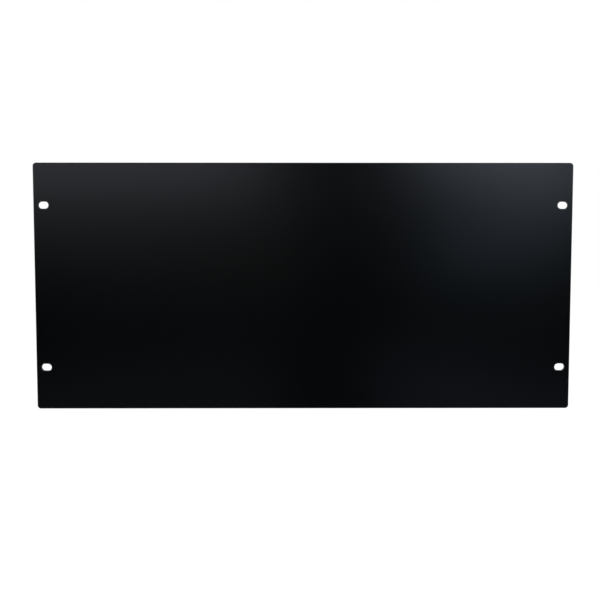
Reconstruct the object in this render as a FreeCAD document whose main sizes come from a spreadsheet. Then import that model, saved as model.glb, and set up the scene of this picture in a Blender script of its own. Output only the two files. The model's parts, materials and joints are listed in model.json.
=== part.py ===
# Blanking panel for a 19 inch equipment rack, five rack units high.
#
# The panel is one flat plate of aluminium. It is blanked with rounded corners, and four slots near
# its ends take the rack screws. The slots run sideways, so that they also meet the holes of rails
# that stand a little too close or too far apart. The powder coat rounds every edge, most of all at
# the front.
#
# The origin is the centre of the slot pattern, on the rear face, which seats on the rack's
# rails. Seen from the front, +X runs to the right and +Z up. +Y runs into the rack, so the front
# face looks along -Y. All sizes are in millimetres and are those of the coated panel.

import FreeCAD, Part
import Sketcher
import math
import os

# Each size that can be set by itself: its name in the sheet, its value, and what it is.
DRIVING = (
    ("panel_width", "482.6", "Width of the panel, 19 inches"),
    ("unit_height", "44.45", "Height of one rack unit, 1.75 inches"),
    ("unit_count", "5", "Rack units that the panel covers"),
    ("stacking_gap", "0.8", "What the panel lacks of its rack units' height, so as to clear its neighbours"),
    ("sheet_thickness", "3.0", "Thickness of the sheet"),
    ("corner_radius", "3.0", "Radius of the four corners of the outline"),
    ("slot_end_inset", "8.75", "From an end of the panel to the centre of a slot"),
    ("slot_row_inset", "38.1", "From the top or bottom end of its rack units to the centre of a slot"),
    ("slot_width", "6.4", "Width of a slot, which clears a 6 mm rack screw"),
    ("slot_travel", "2.9", "Between the centres of a slot's two round ends"),
    ("front_edge_radius", "0.4", "Radius of the edges round the front face and round its slots"),
    ("rear_edge_radius", "0.2", "Radius of the edges round the rear face and round its slots"),
)

# Sizes that follow from the driving ones.
DERIVED = (
    ("panel_height", "=unit_count * unit_height - stacking_gap", "Height of the panel"),
    ("slot_column_spacing", "=panel_width - 2 * slot_end_inset", "Between slot centres, along X"),
    ("slot_row_spacing", "=unit_count * unit_height - 2 * slot_row_inset", "Between slot centres, along Z"),
    ("slot_end_radius", "=slot_width / 2", "Radius of a slot's round ends"),
)

# How a sketch constraint names a point of a line or an arc, and the sketch's own origin.
START, END, CENTRE = 1, 2, 3
ORIGIN = (-1, 1)

QUARTER_TURN = math.pi / 2
TOUCH = 1e-4  # two places nearer than this are the same place
CUT_TOLERANCE = 1e-6  # share of a volume by which a sum and a solid may differ


def make_sheet(doc):
    """The sheet that drives every size: column A names it, B holds it and C says what it is."""
    sheet = doc.addObject("Spreadsheet::Sheet", "Dimensions")
    for row, (name, value, note) in enumerate(DRIVING + DERIVED, start=1):
        sheet.set(f"A{row}", name)
        sheet.set(f"B{row}", value)
        sheet.set(f"C{row}", note)
        sheet.setAlias(f"B{row}", name)
    doc.recompute()
    return sheet


def origin_feature(body, role):
    """One of the body's own origin planes or axes, such as XZ_Plane."""
    return next(feature for feature in body.Origin.OriginFeatures if feature.Role == role)


def add_sketch(body, name):
    """An empty sketch in the plane of the rear face. Its x is the frame's X, and its y is Z."""
    sketch = body.newObject("Sketcher::SketchObject", name)
    sketch.AttachmentSupport = (origin_feature(body, "XZ_Plane"), [""])
    sketch.MapMode = "FlatFace"
    return sketch


def close_loop(sketch, kind, pieces):
    """Joins the end of each piece of an outline to the start of the next one."""
    for piece, following in zip(pieces, pieces[1:] + pieces[:1]):
        sketch.addConstraint(Sketcher.Constraint(kind, piece, END, following, START))


def bind(sketch, name, constraint, expression):
    """Adds a dimension that takes its value from the sheet."""
    index = sketch.addConstraint(constraint)
    sketch.renameConstraint(index, name)
    sketch.setExpression(f"Constraints.{name}", expression)


def draw_outline(sketch, sheet):
    """The panel's outline, a rectangle centred on the origin, before its corners are rounded."""
    right = sheet.panel_width / 2
    top = sheet.panel_height / 2
    corners = [
        FreeCAD.Vector(x, y, 0) for x, y in ((-right, -top), (right, -top), (right, top), (-right, top))
    ]
    lines = [sketch.addGeometry(Part.LineSegment(*ends)) for ends in zip(corners, corners[1:] + corners[:1])]
    lower, right_side, upper, left_side = lines
    close_loop(sketch, "Coincident", lines)
    for line in (lower, upper):
        sketch.addConstraint(Sketcher.Constraint("Horizontal", line))
    for line in (right_side, left_side):
        sketch.addConstraint(Sketcher.Constraint("Vertical", line))
    sketch.addConstraint(Sketcher.Constraint("Symmetric", lower, START, upper, START, *ORIGIN))
    across = Sketcher.Constraint("DistanceX", lower, START, lower, END, sheet.panel_width)
    upward = Sketcher.Constraint("DistanceY", right_side, START, right_side, END, sheet.panel_height)
    bind(sketch, "width", across, "Dimensions.panel_width")
    bind(sketch, "height", upward, "Dimensions.panel_height")


def draw_slot(sketch, sheet):
    """The lower left slot: two straight sides with a round end tangent to them at each end."""
    radius = sheet.slot_end_radius
    left_x = (-sheet.slot_column_spacing - sheet.slot_travel) / 2
    right_x = left_x + sheet.slot_travel
    low = -sheet.slot_row_spacing / 2
    left = FreeCAD.Vector(left_x, low, 0)
    right = FreeCAD.Vector(right_x, low, 0)
    rise = FreeCAD.Vector(0, radius, 0)
    normal = FreeCAD.Vector(0, 0, 1)
    left_arc = Part.ArcOfCircle(Part.Circle(left, normal, radius), QUARTER_TURN, 3 * QUARTER_TURN)
    right_arc = Part.ArcOfCircle(Part.Circle(right, normal, radius), -QUARTER_TURN, QUARTER_TURN)
    upper = sketch.addGeometry(Part.LineSegment(right + rise, left + rise))
    left_end = sketch.addGeometry(left_arc)
    lower = sketch.addGeometry(Part.LineSegment(left - rise, right - rise))
    right_end = sketch.addGeometry(right_arc)
    close_loop(sketch, "Tangent", [upper, left_end, lower, right_end])
    sketch.addConstraint(Sketcher.Constraint("Horizontal", upper))
    sketch.addConstraint(Sketcher.Constraint("Equal", left_end, right_end))
    end_radius = Sketcher.Constraint("Radius", left_end, radius)
    travel = Sketcher.Constraint("DistanceX", left_end, CENTRE, right_end, CENTRE, sheet.slot_travel)
    column = Sketcher.Constraint("DistanceX", left_end, CENTRE, *ORIGIN, -left_x)
    row = Sketcher.Constraint("DistanceY", left_end, CENTRE, *ORIGIN, -low)
    bind(sketch, "end_radius", end_radius, "Dimensions.slot_end_radius")
    bind(sketch, "travel", travel, "Dimensions.slot_travel")
    bind(sketch, "column", column, "(Dimensions.slot_column_spacing + Dimensions.slot_travel) / 2")
    bind(sketch, "row", row, "Dimensions.slot_row_spacing / 2")


def add_plate(body, sheet):
    """The blank. The sketch's normal is -Y, so the sheet lies in front of the rear face's plane."""
    outline = add_sketch(body, "Outline")
    draw_outline(outline, sheet)
    plate = body.newObject("PartDesign::Pad", "Plate")
    plate.Profile = outline
    plate.setExpression("Length", "Dimensions.sheet_thickness")
    return plate


def add_slots(body, sheet):
    """One slot through the sheet, repeated along X and Z for the other three."""
    profile = add_sketch(body, "SlotProfile")
    draw_slot(profile, sheet)
    slot = body.newObject("PartDesign::Pocket", "Slot")
    slot.Profile = profile
    slot.Type = "ThroughAll"
    slot.Reversed = True
    pattern = body.newObject("PartDesign::LinearPattern", "SlotPattern")
    pattern.Originals = [slot]
    pattern.Direction = (origin_feature(body, "X_Axis"), [""])
    pattern.Direction2 = (origin_feature(body, "Z_Axis"), [""])
    pattern.Occurrences = 2
    pattern.Occurrences2 = 2
    pattern.setExpression("Length", "Dimensions.slot_column_spacing")
    pattern.setExpression("Length2", "Dimensions.slot_row_spacing")
    body.Tip = pattern
    return pattern


def add_fillet(body, name, base, edges, radius):
    """Rounds edges of the feature called base. The radius is the name of a size in the sheet."""
    fillet = body.newObject("PartDesign::Fillet", name)
    fillet.Base = (base, edges)
    fillet.setExpression("Radius", f"Dimensions.{radius}")
    return fillet


def edges_through(shape):
    """The names of the straight edges that run through the sheet, from face to face."""
    names = []
    for number, edge in enumerate(shape.Edges, start=1):
        box = edge.BoundBox
        if max(box.XLength, box.ZLength) < TOUCH:
            names.append(f"Edge{number}")
    return names


def edges_in_plane(shape, y):
    """The names of the edges that lie in the plane at y, where one of the two faces is."""
    names = []
    for number, edge in enumerate(shape.Edges, start=1):
        box = edge.BoundBox
        if max(abs(box.YMin - y), abs(box.YMax - y)) < TOUCH:
            names.append(f"Edge{number}")
    return names


def make_panel(doc, sheet):
    """The whole panel: the blank, its round corners, its slots and its softened edges."""
    body = doc.addObject("PartDesign::Body", "BlankingPanel")
    body.Label = "blanking_panel"
    body.Placement = FreeCAD.Placement()
    plate = add_plate(body, sheet)
    doc.recompute()
    corners = add_fillet(body, "Corners", plate, edges_through(plate.Shape), "corner_radius")
    doc.recompute()
    pattern = add_slots(body, sheet)
    doc.recompute()
    front_edges = edges_in_plane(pattern.Shape, -sheet.sheet_thickness)
    front = add_fillet(body, "FrontEdges", pattern, front_edges, "front_edge_radius")
    doc.recompute()
    add_fillet(body, "RearEdges", front, edges_in_plane(front.Shape, 0), "rear_edge_radius")
    doc.recompute()
    check_slots(sheet, corners.Shape, pattern.Shape)
    return body


def check_slots(sheet, whole, slotted):
    """Stops unless the four slots took away the metal that they should."""
    radius = sheet.slot_end_radius
    area = math.pi * radius**2 + 2 * radius * sheet.slot_travel
    expected = whole.Volume - 4 * area * sheet.sheet_thickness
    if abs(slotted.Volume - expected) > CUT_TOLERANCE * expected:
        raise RuntimeError(f"the slots leave {slotted.Volume:.3f} cubic mm, and {expected:.3f} was expected")


def check_document(doc):
    """Stops if any object failed, or a sketch can still move."""
    for thing in doc.Objects:
        if "Invalid" in thing.State or "Error" in thing.State:
            raise RuntimeError(f"{thing.Label} failed: {thing.State}")
        if thing.isDerivedFrom("Sketcher::SketchObject") and not thing.FullyConstrained:
            raise RuntimeError(f"{thing.Label} isn't fully constrained")


def export(body):
    """Writes the body to a STEP file named by its label, if it is one sound solid."""
    shape = body.Shape
    if shape.isNull() or not shape.isValid() or len(shape.Solids) != 1:
        raise RuntimeError(f"{body.Label} isn't one sound solid")
    os.makedirs("parts", exist_ok=True)
    shape.exportStep(f"parts/{body.Label}.step")
    box = shape.optimalBoundingBox(False, False)
    sizes = f"{box.XLength:.2f} x {box.YLength:.2f} x {box.ZLength:.2f} mm"
    print(f"{body.Label}: {sizes}, {shape.Volume:.1f} cubic mm, {len(shape.Faces)} faces")


document = FreeCAD.newDocument("BlankingPanel")
dimensions = make_sheet(document)
panel = make_panel(document, dimensions)
check_document(document)
export(panel)
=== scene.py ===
"""The looks of the rack blanking panel: its finely meshed plate, its powder coat and the studio.

Everything is in metres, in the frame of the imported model. Its origin is the centre of the slot
pattern on the rear face. +X runs to the right and +Z up, and the front face looks along -Y.
"""

import bpy
import json
import math
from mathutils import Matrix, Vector
from mathutils.geometry import delaunay_2d_cdt


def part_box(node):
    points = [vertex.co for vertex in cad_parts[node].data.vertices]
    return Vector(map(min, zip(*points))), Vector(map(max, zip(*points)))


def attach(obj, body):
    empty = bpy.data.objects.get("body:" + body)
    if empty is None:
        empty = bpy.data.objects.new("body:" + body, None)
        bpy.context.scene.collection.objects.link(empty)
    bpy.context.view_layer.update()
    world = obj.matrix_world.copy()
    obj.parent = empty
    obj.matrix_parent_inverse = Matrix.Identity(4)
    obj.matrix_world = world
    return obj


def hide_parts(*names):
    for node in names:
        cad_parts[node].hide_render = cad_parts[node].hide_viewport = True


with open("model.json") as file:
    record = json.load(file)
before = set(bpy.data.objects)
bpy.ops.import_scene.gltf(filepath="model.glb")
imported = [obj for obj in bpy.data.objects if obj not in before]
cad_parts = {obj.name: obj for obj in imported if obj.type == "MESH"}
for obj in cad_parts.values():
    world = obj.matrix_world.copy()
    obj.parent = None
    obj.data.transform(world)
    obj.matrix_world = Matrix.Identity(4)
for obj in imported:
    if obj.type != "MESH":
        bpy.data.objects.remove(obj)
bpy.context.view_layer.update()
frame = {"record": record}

MM = 0.001
QUARTER_TURN = math.pi / 2

# The plate. Its outer size and its slots come from the frame, and these radii from the part.
PANEL_NODE = "blanking_panel"
CORNER_RADIUS = 3.0 * MM
FRONT_EDGE_RADIUS = 0.4 * MM
REAR_EDGE_RADIUS = 0.2 * MM
CORNER_STEPS = 12  # mesh steps round a quarter turn of the outline or of a slot
EDGE_STEPS = 5  # mesh steps round a quarter turn of an edge's section
FACE_GRID = 12 * MM  # spacing of the mesh across the two flat faces
GRID_MARGIN = 0.4  # share of that spacing which the grid keeps clear of an outline
SAME_PLACE = 0.001 * MM  # two places nearer than this are the same place
INSIDE_OUTLINE = 1  # asks delaunay_2d_cdt for the triangles inside the outer loop, slots and all
DELAUNAY_TOUCH = 1e-9  # two points nearer than this are joined by delaunay_2d_cdt

# The powder coat. Three noises vary it, and the larger a noise's scale, the finer it is.
DRIFT_SCALE = 7.0  # the slow drift in colour and sheen
PEEL_SCALE = 420.0  # the orange peel, about 2 mm across
GRAIN_SCALE = 6000.0  # the fine grain
DRIFT_SPAN = (0.3, 0.7)  # values of the drift's noise between which the sheen changes
DARK_COAT = (0.0002, 0.0002, 0.0002, 1.0)
LIGHT_COAT = (0.0004, 0.0004, 0.0004, 1.0)
FACE_ROUGHNESS = (0.225, 0.241)  # of the coat on the two faces, at the two ends of its drift
EDGE_ROUGHNESS = 0.7  # of the coat on the cut edges and in the slots
PEEL_DEPTH = 0.02 * MM  # of the shallow orange peel
GRAIN_SHARE = 0.12  # depth of the fine grain, as a share of the peel's

# The camera, measured from the centre of the front face. Its tilt and swing are in degrees, and
# its sensor and lens in millimetres.
CAMERA_PLACE = Vector((-0.0069, -0.7197, 0.0347))
CAMERA_TILT = -3.713
CAMERA_SWING = -0.303
CAMERA_SENSOR = 36.0
CAMERA_LENS = 48.0

# The floor, which starts behind the camera and runs on far behind the panel.
FLOOR_HEIGHT = -0.75
FLOOR_HALF_WIDTH = 9.0
FLOOR_NEAR = -0.9
FLOOR_FAR = 14.0
FLOOR_TONE = 0.88
FLOOR_LIFT = 0.24  # brings the floor up to white where it is seen or mirrored

# The white studio as reflections see it. A direction's Y is -1 to the front, and its Z is 1 upwards.
FRONT_SPAN = (-0.8, -0.35)  # values of Y between which the dark front turns into white
HEIGHT_SPAN = (-0.4, 0.5)  # values of Z between which the studio gets lighter
HEIGHT_LEVELS = (0.6, 1.0)  # its light at the two ends of that span
STUDIO_LIGHT = 0.6  # its light on matt surfaces

LAMP_DISTANCE = 1.5  # of the soft lamps, in front of the rear face

# The soft light from above: its irradiance, and its height, swing to the left and width in degrees.
FILL_STRENGTH = 1.2
FILL_HEIGHT = 50.0
FILL_SWING = 30.0
FILL_ANGLE = 20.0


def new_material(name):
    """An empty node material, and the tree that its nodes go into."""
    material = bpy.data.materials.new(name)
    material.use_nodes = True
    material.node_tree.nodes.clear()
    return material, material.node_tree


def add_node(tree, kind, inputs=None, **settings):
    """A node with its settings, and with its inputs set to values or joined to other sockets."""
    node = tree.nodes.new(kind)
    for name, value in settings.items():
        setattr(node, name, value)
    for name, value in (inputs or {}).items():
        if isinstance(value, bpy.types.NodeSocket):
            tree.links.new(value, node.inputs[name])
        else:
            node.inputs[name].default_value = value
    return node


def add_math(tree, operation, *values):
    """The result of a calculation on values or sockets."""
    return add_node(tree, "ShaderNodeMath", dict(enumerate(values)), operation=operation).outputs["Value"]


def add_mix(tree, kind, factor, start, end):
    """A mix of two numbers or two colours, which is start where the factor is 0."""
    inputs = {"Factor": factor, "A": start, "B": end}
    return add_node(tree, "ShaderNodeMix", inputs, data_type=kind).outputs["Result"]


def add_ramp(tree, value, span, levels, kind="LINEAR"):
    """Leads from one level to the other while the value crosses the span."""
    inputs = {"Value": value, "From Min": span[0], "From Max": span[1]}
    inputs.update({"To Min": levels[0], "To Max": levels[1]})
    return add_node(tree, "ShaderNodeMapRange", inputs, interpolation_type=kind).outputs["Result"]


def add_noise(tree, place, scale, **inputs):
    """A noise in three dimensions, about 0.5 on average."""
    inputs.update({"Vector": place, "Scale": scale})
    return add_node(tree, "ShaderNodeTexNoise", inputs).outputs["Fac"]


# ---------------------------------------------------------------------------------------------
# The plate


def rounded_rectangle(centre, half_width, half_height, radius):
    """A closed outline as (place, way out) pairs, each a 2D vector, anticlockwise.

    A slot is one too: there the radius is the half height. Long sides get points of their own.
    """
    outline = []
    for quarter, (right, up) in enumerate(((1, 1), (-1, 1), (-1, -1), (1, -1))):
        corner = centre + Vector((right * (half_width - radius), up * (half_height - radius)))
        for step in range(CORNER_STEPS + 1):
            angle = (quarter + step / CORNER_STEPS) * QUARTER_TURN
            out = Vector((math.cos(angle), math.sin(angle)))
            add_outline_point(outline, corner + radius * out, out)
    join_outline(outline, outline[0][0])
    if (outline[0][0] - outline[-1][0]).length < SAME_PLACE:
        outline.pop()
    return outline


def add_outline_point(outline, place, out):
    """Adds a point to an outline, unless it is there already, and points on the way to it."""
    if outline and (outline[-1][0] - place).length < SAME_PLACE:
        return
    if outline:
        join_outline(outline, place)
    outline.append((place, out))


def join_outline(outline, place):
    """Adds points along a long straight side that leads from the outline's last point to place."""
    start, out = outline[-1]
    pieces = round((place - start).length / FACE_GRID)
    for piece in range(1, pieces):
        outline.append((start.lerp(place, piece / pieces), out))


def edge_section(front, back):
    """The section through the sheet's edge, from the front face round to the rear face.

    Each station is (inset from the outline, Y, turn of the normal away from the front's).
    """
    stations = []
    for step in range(EDGE_STEPS + 1):
        turn = step / EDGE_STEPS * QUARTER_TURN
        inset = FRONT_EDGE_RADIUS * (1 - math.sin(turn))
        stations.append((inset, front + FRONT_EDGE_RADIUS * (1 - math.cos(turn)), turn))
    for step in range(EDGE_STEPS + 1):
        turn = (1 + step / EDGE_STEPS) * QUARTER_TURN
        inset = REAR_EDGE_RADIUS * (1 - math.sin(turn))
        stations.append((inset, back - REAR_EDGE_RADIUS * (1 + math.cos(turn)), turn))
    return stations


def slot_outlines(record):
    """The outlines of the slots, at the places and sizes that the record's mount states."""
    mount = next(m for m in record["mounts"] if m["name"] == "rack_slots")
    dims = mount["dims"]
    centre = Vector((mount["pos_m"][0], mount["pos_m"][2]))
    half_spacing = Vector((dims["spacing_x_mm"], dims["spacing_y_mm"])) * MM / 2
    half_length = dims["slot_length_mm"] * MM / 2
    radius = dims["hole_r_mm"] * MM
    outlines = []
    for right in (-1, 1):
        for up in (-1, 1):
            place = centre + Vector((right * half_spacing.x, up * half_spacing.y))
            outlines.append(rounded_rectangle(place, half_length, radius, radius))
    return outlines


class PlateMesh:
    """Collects the plate's faces and its vertices, each with its normal and its share of edge.

    The share is 0 on the two flat faces and 1 on the walls between them.
    """

    def __init__(self):
        self.places = []
        self.normals = []
        self.on_edge = []
        self.faces = []

    def add(self, place, normal, on_edge):
        """Adds a vertex and returns its number."""
        self.places.append(place)
        self.normals.append(normal)
        self.on_edge.append(on_edge)
        return len(self.places) - 1

    def add_rim(self, outline, stations, way):
        """The walls and rounded edges along an outline. Way is 1 round the plate and -1 in a slot.

        Returns the first and the last ring, which bound the front face and the rear face.
        """
        rings = []
        for inset, y, turn in stations:
            ring = []
            for place, out in outline:
                spot = place - out * inset * way
                side = out * way * math.sin(turn)
                normal = Vector((side.x, -math.cos(turn), side.y))
                ring.append(self.add(Vector((spot.x, y, spot.y)), normal, math.sin(turn)))
            rings.append(ring)
        for ring, following in zip(rings, rings[1:]):
            for i, here in enumerate(ring):
                after = (i + 1) % len(ring)
                corners = (here, ring[after], following[after], following[i])
                self.faces.append(corners[::-1] if way > 0 else corners)
        return rings[0], rings[-1]

    def add_cap(self, rings, y, facing):
        """A flat face at y that the rings bound, the outer ring first. Facing is -1 at the front."""
        loops = [[(self.places[i].x, self.places[i].z) for i in ring] for ring in rings]
        places, triangles, sources = triangulate(loops)
        known = [i for ring in rings for i in ring]
        numbers = []
        for place, source in zip(places, sources):
            if source[0] < len(known):
                numbers.append(known[source[0]])
            else:
                numbers.append(self.add(Vector((place.x, y, place.y)), Vector((0, facing, 0)), 0.0))
        for triangle in triangles:
            middle = sum((places[i] for i in triangle), Vector((0, 0))) / 3
            if not any(is_inside(middle, loop) for loop in loops[1:]):
                corners = [numbers[i] for i in triangle]
                self.faces.append(corners if facing < 0 else corners[::-1])

    def build(self, name):
        """Makes the object, with smooth shading by the exact normals."""
        mesh = bpy.data.meshes.new(name)
        mesh.from_pydata(self.places, [], self.faces)
        mesh.validate()
        mesh.shade_smooth()
        mesh.normals_split_custom_set_from_vertices(self.normals)
        attribute = mesh.attributes.new("on_edge", "FLOAT", "POINT")
        attribute.data.foreach_set("value", self.on_edge)
        panel = bpy.data.objects.new(name, mesh)
        bpy.context.collection.objects.link(panel)
        return panel


def triangulate(loops):
    """Triangles that cover the outer loop and follow them all, with a grid of places inside.

    Returns the places, the triangles, and for each place the numbers of the points it stands for.
    The loops' own points come first.
    """
    points = [Vector(p) for loop in loops for p in loop]
    edges = []
    start = 0
    for loop in loops:
        edges += [(start + i, start + (i + 1) % len(loop)) for i in range(len(loop))]
        start += len(loop)
    points += grid_inside(loops)
    made = delaunay_2d_cdt(points, edges, [], INSIDE_OUTLINE, DELAUNAY_TOUCH)
    return made[0], made[2], made[3]


def is_inside(place, loop):
    """Whether a 2D place lies inside a closed loop of (x, z) pairs."""
    inside = False
    for (ax, az), (bx, bz) in zip(loop, loop[1:] + loop[:1]):
        if (az > place.y) != (bz > place.y):
            if place.x < ax + (bx - ax) * (place.y - az) / (bz - az):
                inside = not inside
    return inside


def grid_inside(loops):
    """Evenly spaced places in the face, none of them in a slot or close to an outline."""
    outer = loops[0]
    low = Vector((min(x for x, _ in outer), min(z for _, z in outer)))
    size = Vector((max(x for x, _ in outer), max(z for _, z in outer))) - low
    columns = round(size.x / FACE_GRID)
    rows = round(size.y / FACE_GRID)
    points = [Vector(p) for loop in loops for p in loop]
    places = []
    for column in range(1, columns):
        for row in range(1, rows):
            place = low + Vector((size.x * column / columns, size.y * row / rows))
            clear = min((place - p).length for p in points) > GRID_MARGIN * FACE_GRID
            if clear and not any(is_inside(place, loop) for loop in loops[1:]):
                places.append(place)
    return places


def make_panel(record):
    """The plate, as one closed mesh with its round corners, slots and softened edges."""
    low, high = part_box(PANEL_NODE)
    middle = (low + high) / 2
    half = (high - low) / 2
    outer = rounded_rectangle(Vector((middle.x, middle.z)), half.x, half.z, CORNER_RADIUS)
    stations = edge_section(low.y, high.y)
    plate = PlateMesh()
    rims = [plate.add_rim(outer, stations, 1)]
    rims += [plate.add_rim(outline, stations, -1) for outline in slot_outlines(record)]
    plate.add_cap([front for front, _ in rims], low.y, -1)
    plate.add_cap([rear for _, rear in rims], high.y, 1)
    return plate.build("panel_plate")


# ---------------------------------------------------------------------------------------------
# The powder coat


def make_powder_coat():
    """Satin black powder coat. Its colour and sheen drift slowly, and it is duller on the edges."""
    material, tree = new_material("satin_black_powder_coat")
    place = add_node(tree, "ShaderNodeTexCoord").outputs["Object"]
    drift = add_noise(tree, place, DRIFT_SCALE, Detail=2.0, Roughness=0.4)
    on_edge = add_node(tree, "ShaderNodeAttribute", attribute_name="on_edge").outputs["Fac"]
    sheen = add_ramp(tree, drift, DRIFT_SPAN, FACE_ROUGHNESS)
    coat = {
        "Base Color": add_mix(tree, "RGBA", drift, DARK_COAT, LIGHT_COAT),
        "Roughness": add_mix(tree, "FLOAT", on_edge, sheen, EDGE_ROUGHNESS),
        "Normal": add_orange_peel(tree, place),
    }
    shader = add_node(tree, "ShaderNodeBsdfPrincipled", coat)
    add_node(tree, "ShaderNodeOutputMaterial", {"Surface": shader.outputs["BSDF"]})
    return material


def add_orange_peel(tree, place):
    """The normal of a shallow orange peel with a fine grain on it."""
    grain = add_noise(tree, place, GRAIN_SCALE, Detail=2.0)
    peel = add_noise(tree, place, PEEL_SCALE, Detail=1.0)
    relief = add_math(tree, "MULTIPLY_ADD", grain, GRAIN_SHARE, peel)
    bump = add_node(tree, "ShaderNodeBump", {"Height": relief, "Strength": 1.0, "Distance": PEEL_DEPTH})
    return bump.outputs["Normal"]


# ---------------------------------------------------------------------------------------------
# The studio


def make_camera():
    """The camera, which looks a little down at the front face from just left of its middle."""
    low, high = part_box(PANEL_NODE)
    front_middle = Vector(((low.x + high.x) / 2, low.y, (low.z + high.z) / 2))
    data = bpy.data.cameras.new("camera")
    data.sensor_width = CAMERA_SENSOR
    data.lens = CAMERA_LENS
    camera = bpy.data.objects.new("camera", data)
    camera.location = front_middle + CAMERA_PLACE
    camera.rotation_euler = (math.radians(90 + CAMERA_TILT), 0.0, math.radians(CAMERA_SWING))
    bpy.context.collection.objects.link(camera)
    bpy.context.scene.camera = camera


def add_softbox(name, middle, size, turn, strength, colour):
    """A rectangular lamp in front of the panel that faces straight back along +Y.

    Its middle and size are (X, Z) pairs. It is turned in its own plane, by so many degrees
    anticlockwise as the camera sees it. Its strength is the radiance of its surface.
    """
    data = bpy.data.lights.new(name, "AREA")
    data.shape = "RECTANGLE"
    data.size, data.size_y = size
    data.energy = strength * math.pi * data.size * data.size_y
    data.color = colour
    lamp = bpy.data.objects.new(name, data)
    lamp.location = (middle[0], -LAMP_DISTANCE, middle[1])
    lamp.rotation_euler = (math.radians(90), math.radians(-turn), 0.0)
    bpy.context.collection.objects.link(lamp)


def make_lamps():
    """Three soft lamps on each side, most of them a little blue, with a dark gap between the sides.

    They are what the front face mirrors. The strip and the box make its light upper corners, and
    the others make the faint light round and below those.
    """
    add_softbox("left_strip", (-0.87, 0.285), (1.55, 0.1), 1, 2.1, (0.97, 0.99, 1.16))
    add_softbox("left_screen", (-0.89, 0.3), (1.84, 0.55), -7.5, 0.113, (0.88, 1.04, 0.96))
    add_softbox("left_low", (-0.62, -0.73), (1.22, 0.8), 7.5, 0.098, (0.77, 1.04, 1.34))
    add_softbox("right_box", (0.62, 0.48), (0.48, 0.54), -15, 1.9, (0.89, 1.01, 1.2))
    add_softbox("right_screen", (0.55, 0.06), (0.33, 0.1), 12, 0.66, (0.7, 1.05, 1.35))
    add_softbox("right_low", (0.63, -0.45), (0.84, 0.16), -16, 0.25, (0.82, 1.01, 1.39))
    add_fill()


def add_fill():
    """A broad soft light from high on the left. It brings the level up and throws the shadow."""
    data = bpy.data.lights.new("fill", "SUN")
    data.energy = FILL_STRENGTH
    data.angle = math.radians(FILL_ANGLE)
    lamp = bpy.data.objects.new("fill", data)
    lamp.rotation_euler = (math.radians(90 - FILL_HEIGHT), 0.0, math.radians(-FILL_SWING))
    lamp.visible_glossy = False
    bpy.context.collection.objects.link(lamp)


def make_world():
    """A white studio, plain white where it is seen. Matt surfaces and reflections see less of it."""
    world = bpy.data.worlds.new("studio")
    bpy.context.scene.world = world
    world.use_nodes = True
    world.cycles.sampling_method = "NONE"  # because its strength depends on the kind of ray
    tree = world.node_tree
    tree.nodes.clear()
    mirrored = add_mirrored_studio(tree)
    path = add_node(tree, "ShaderNodeLightPath").outputs
    unseen = add_mix(tree, "FLOAT", path["Is Glossy Ray"], STUDIO_LIGHT, mirrored)
    seen = add_math(tree, "MAXIMUM", path["Is Camera Ray"], path["Is Transmission Ray"])
    strength = add_mix(tree, "FLOAT", seen, unseen, 1.0)
    light = add_node(tree, "ShaderNodeBackground", {"Color": (1, 1, 1, 1), "Strength": strength})
    add_node(tree, "ShaderNodeOutputWorld", {"Surface": light.outputs["Background"]})


def add_mirrored_studio(tree):
    """The studio's strength for reflections: dark in front, and dimmer towards the floor."""
    direction = add_node(tree, "ShaderNodeTexCoord").outputs["Generated"]
    axes = add_node(tree, "ShaderNodeSeparateXYZ", {"Vector": direction}).outputs
    beside_and_behind = add_ramp(tree, axes["Y"], FRONT_SPAN, (0.0, 1.0), "SMOOTHSTEP")
    height = add_ramp(tree, axes["Z"], HEIGHT_SPAN, HEIGHT_LEVELS)
    return add_math(tree, "MULTIPLY", beside_and_behind, height)


def make_floor():
    """A pale floor, well below the panel, which takes its shadow."""
    corners = [
        (-FLOOR_HALF_WIDTH, FLOOR_NEAR, FLOOR_HEIGHT),
        (FLOOR_HALF_WIDTH, FLOOR_NEAR, FLOOR_HEIGHT),
        (FLOOR_HALF_WIDTH, FLOOR_FAR, FLOOR_HEIGHT),
        (-FLOOR_HALF_WIDTH, FLOOR_FAR, FLOOR_HEIGHT),
    ]
    mesh = bpy.data.meshes.new("floor")
    mesh.from_pydata(corners, [], [(0, 1, 2, 3)])
    floor = bpy.data.objects.new("floor", mesh)
    bpy.context.collection.objects.link(floor)
    mesh.materials.append(make_floor_paint())


def make_floor_paint():
    """Pale matt paint. Where it is seen or mirrored it glows a little, which makes it white."""
    material, tree = new_material("pale_floor")
    path = add_node(tree, "ShaderNodeLightPath").outputs
    paint = add_node(tree, "ShaderNodeBsdfDiffuse", {"Color": (FLOOR_TONE, FLOOR_TONE, FLOOR_TONE, 1.0)})
    seen = path["Is Camera Ray"]
    for ray in ("Is Glossy Ray", "Is Transmission Ray"):
        seen = add_math(tree, "MAXIMUM", seen, path[ray])
    lift = add_math(tree, "MULTIPLY", seen, FLOOR_LIFT)
    glow = add_node(tree, "ShaderNodeEmission", {"Color": (1, 1, 1, 1), "Strength": lift})
    both = add_node(tree, "ShaderNodeAddShader", {0: paint.outputs["BSDF"], 1: glow.outputs["Emission"]})
    add_node(tree, "ShaderNodeOutputMaterial", {"Surface": both.outputs["Shader"]})
    return material


panel = make_panel(frame["record"])
panel.data.materials.append(make_powder_coat())
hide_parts(PANEL_NODE)
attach(panel, "root")

make_floor()
make_lamps()
make_world()
make_camera()
bpy.context.scene.view_settings.view_transform = "Standard"
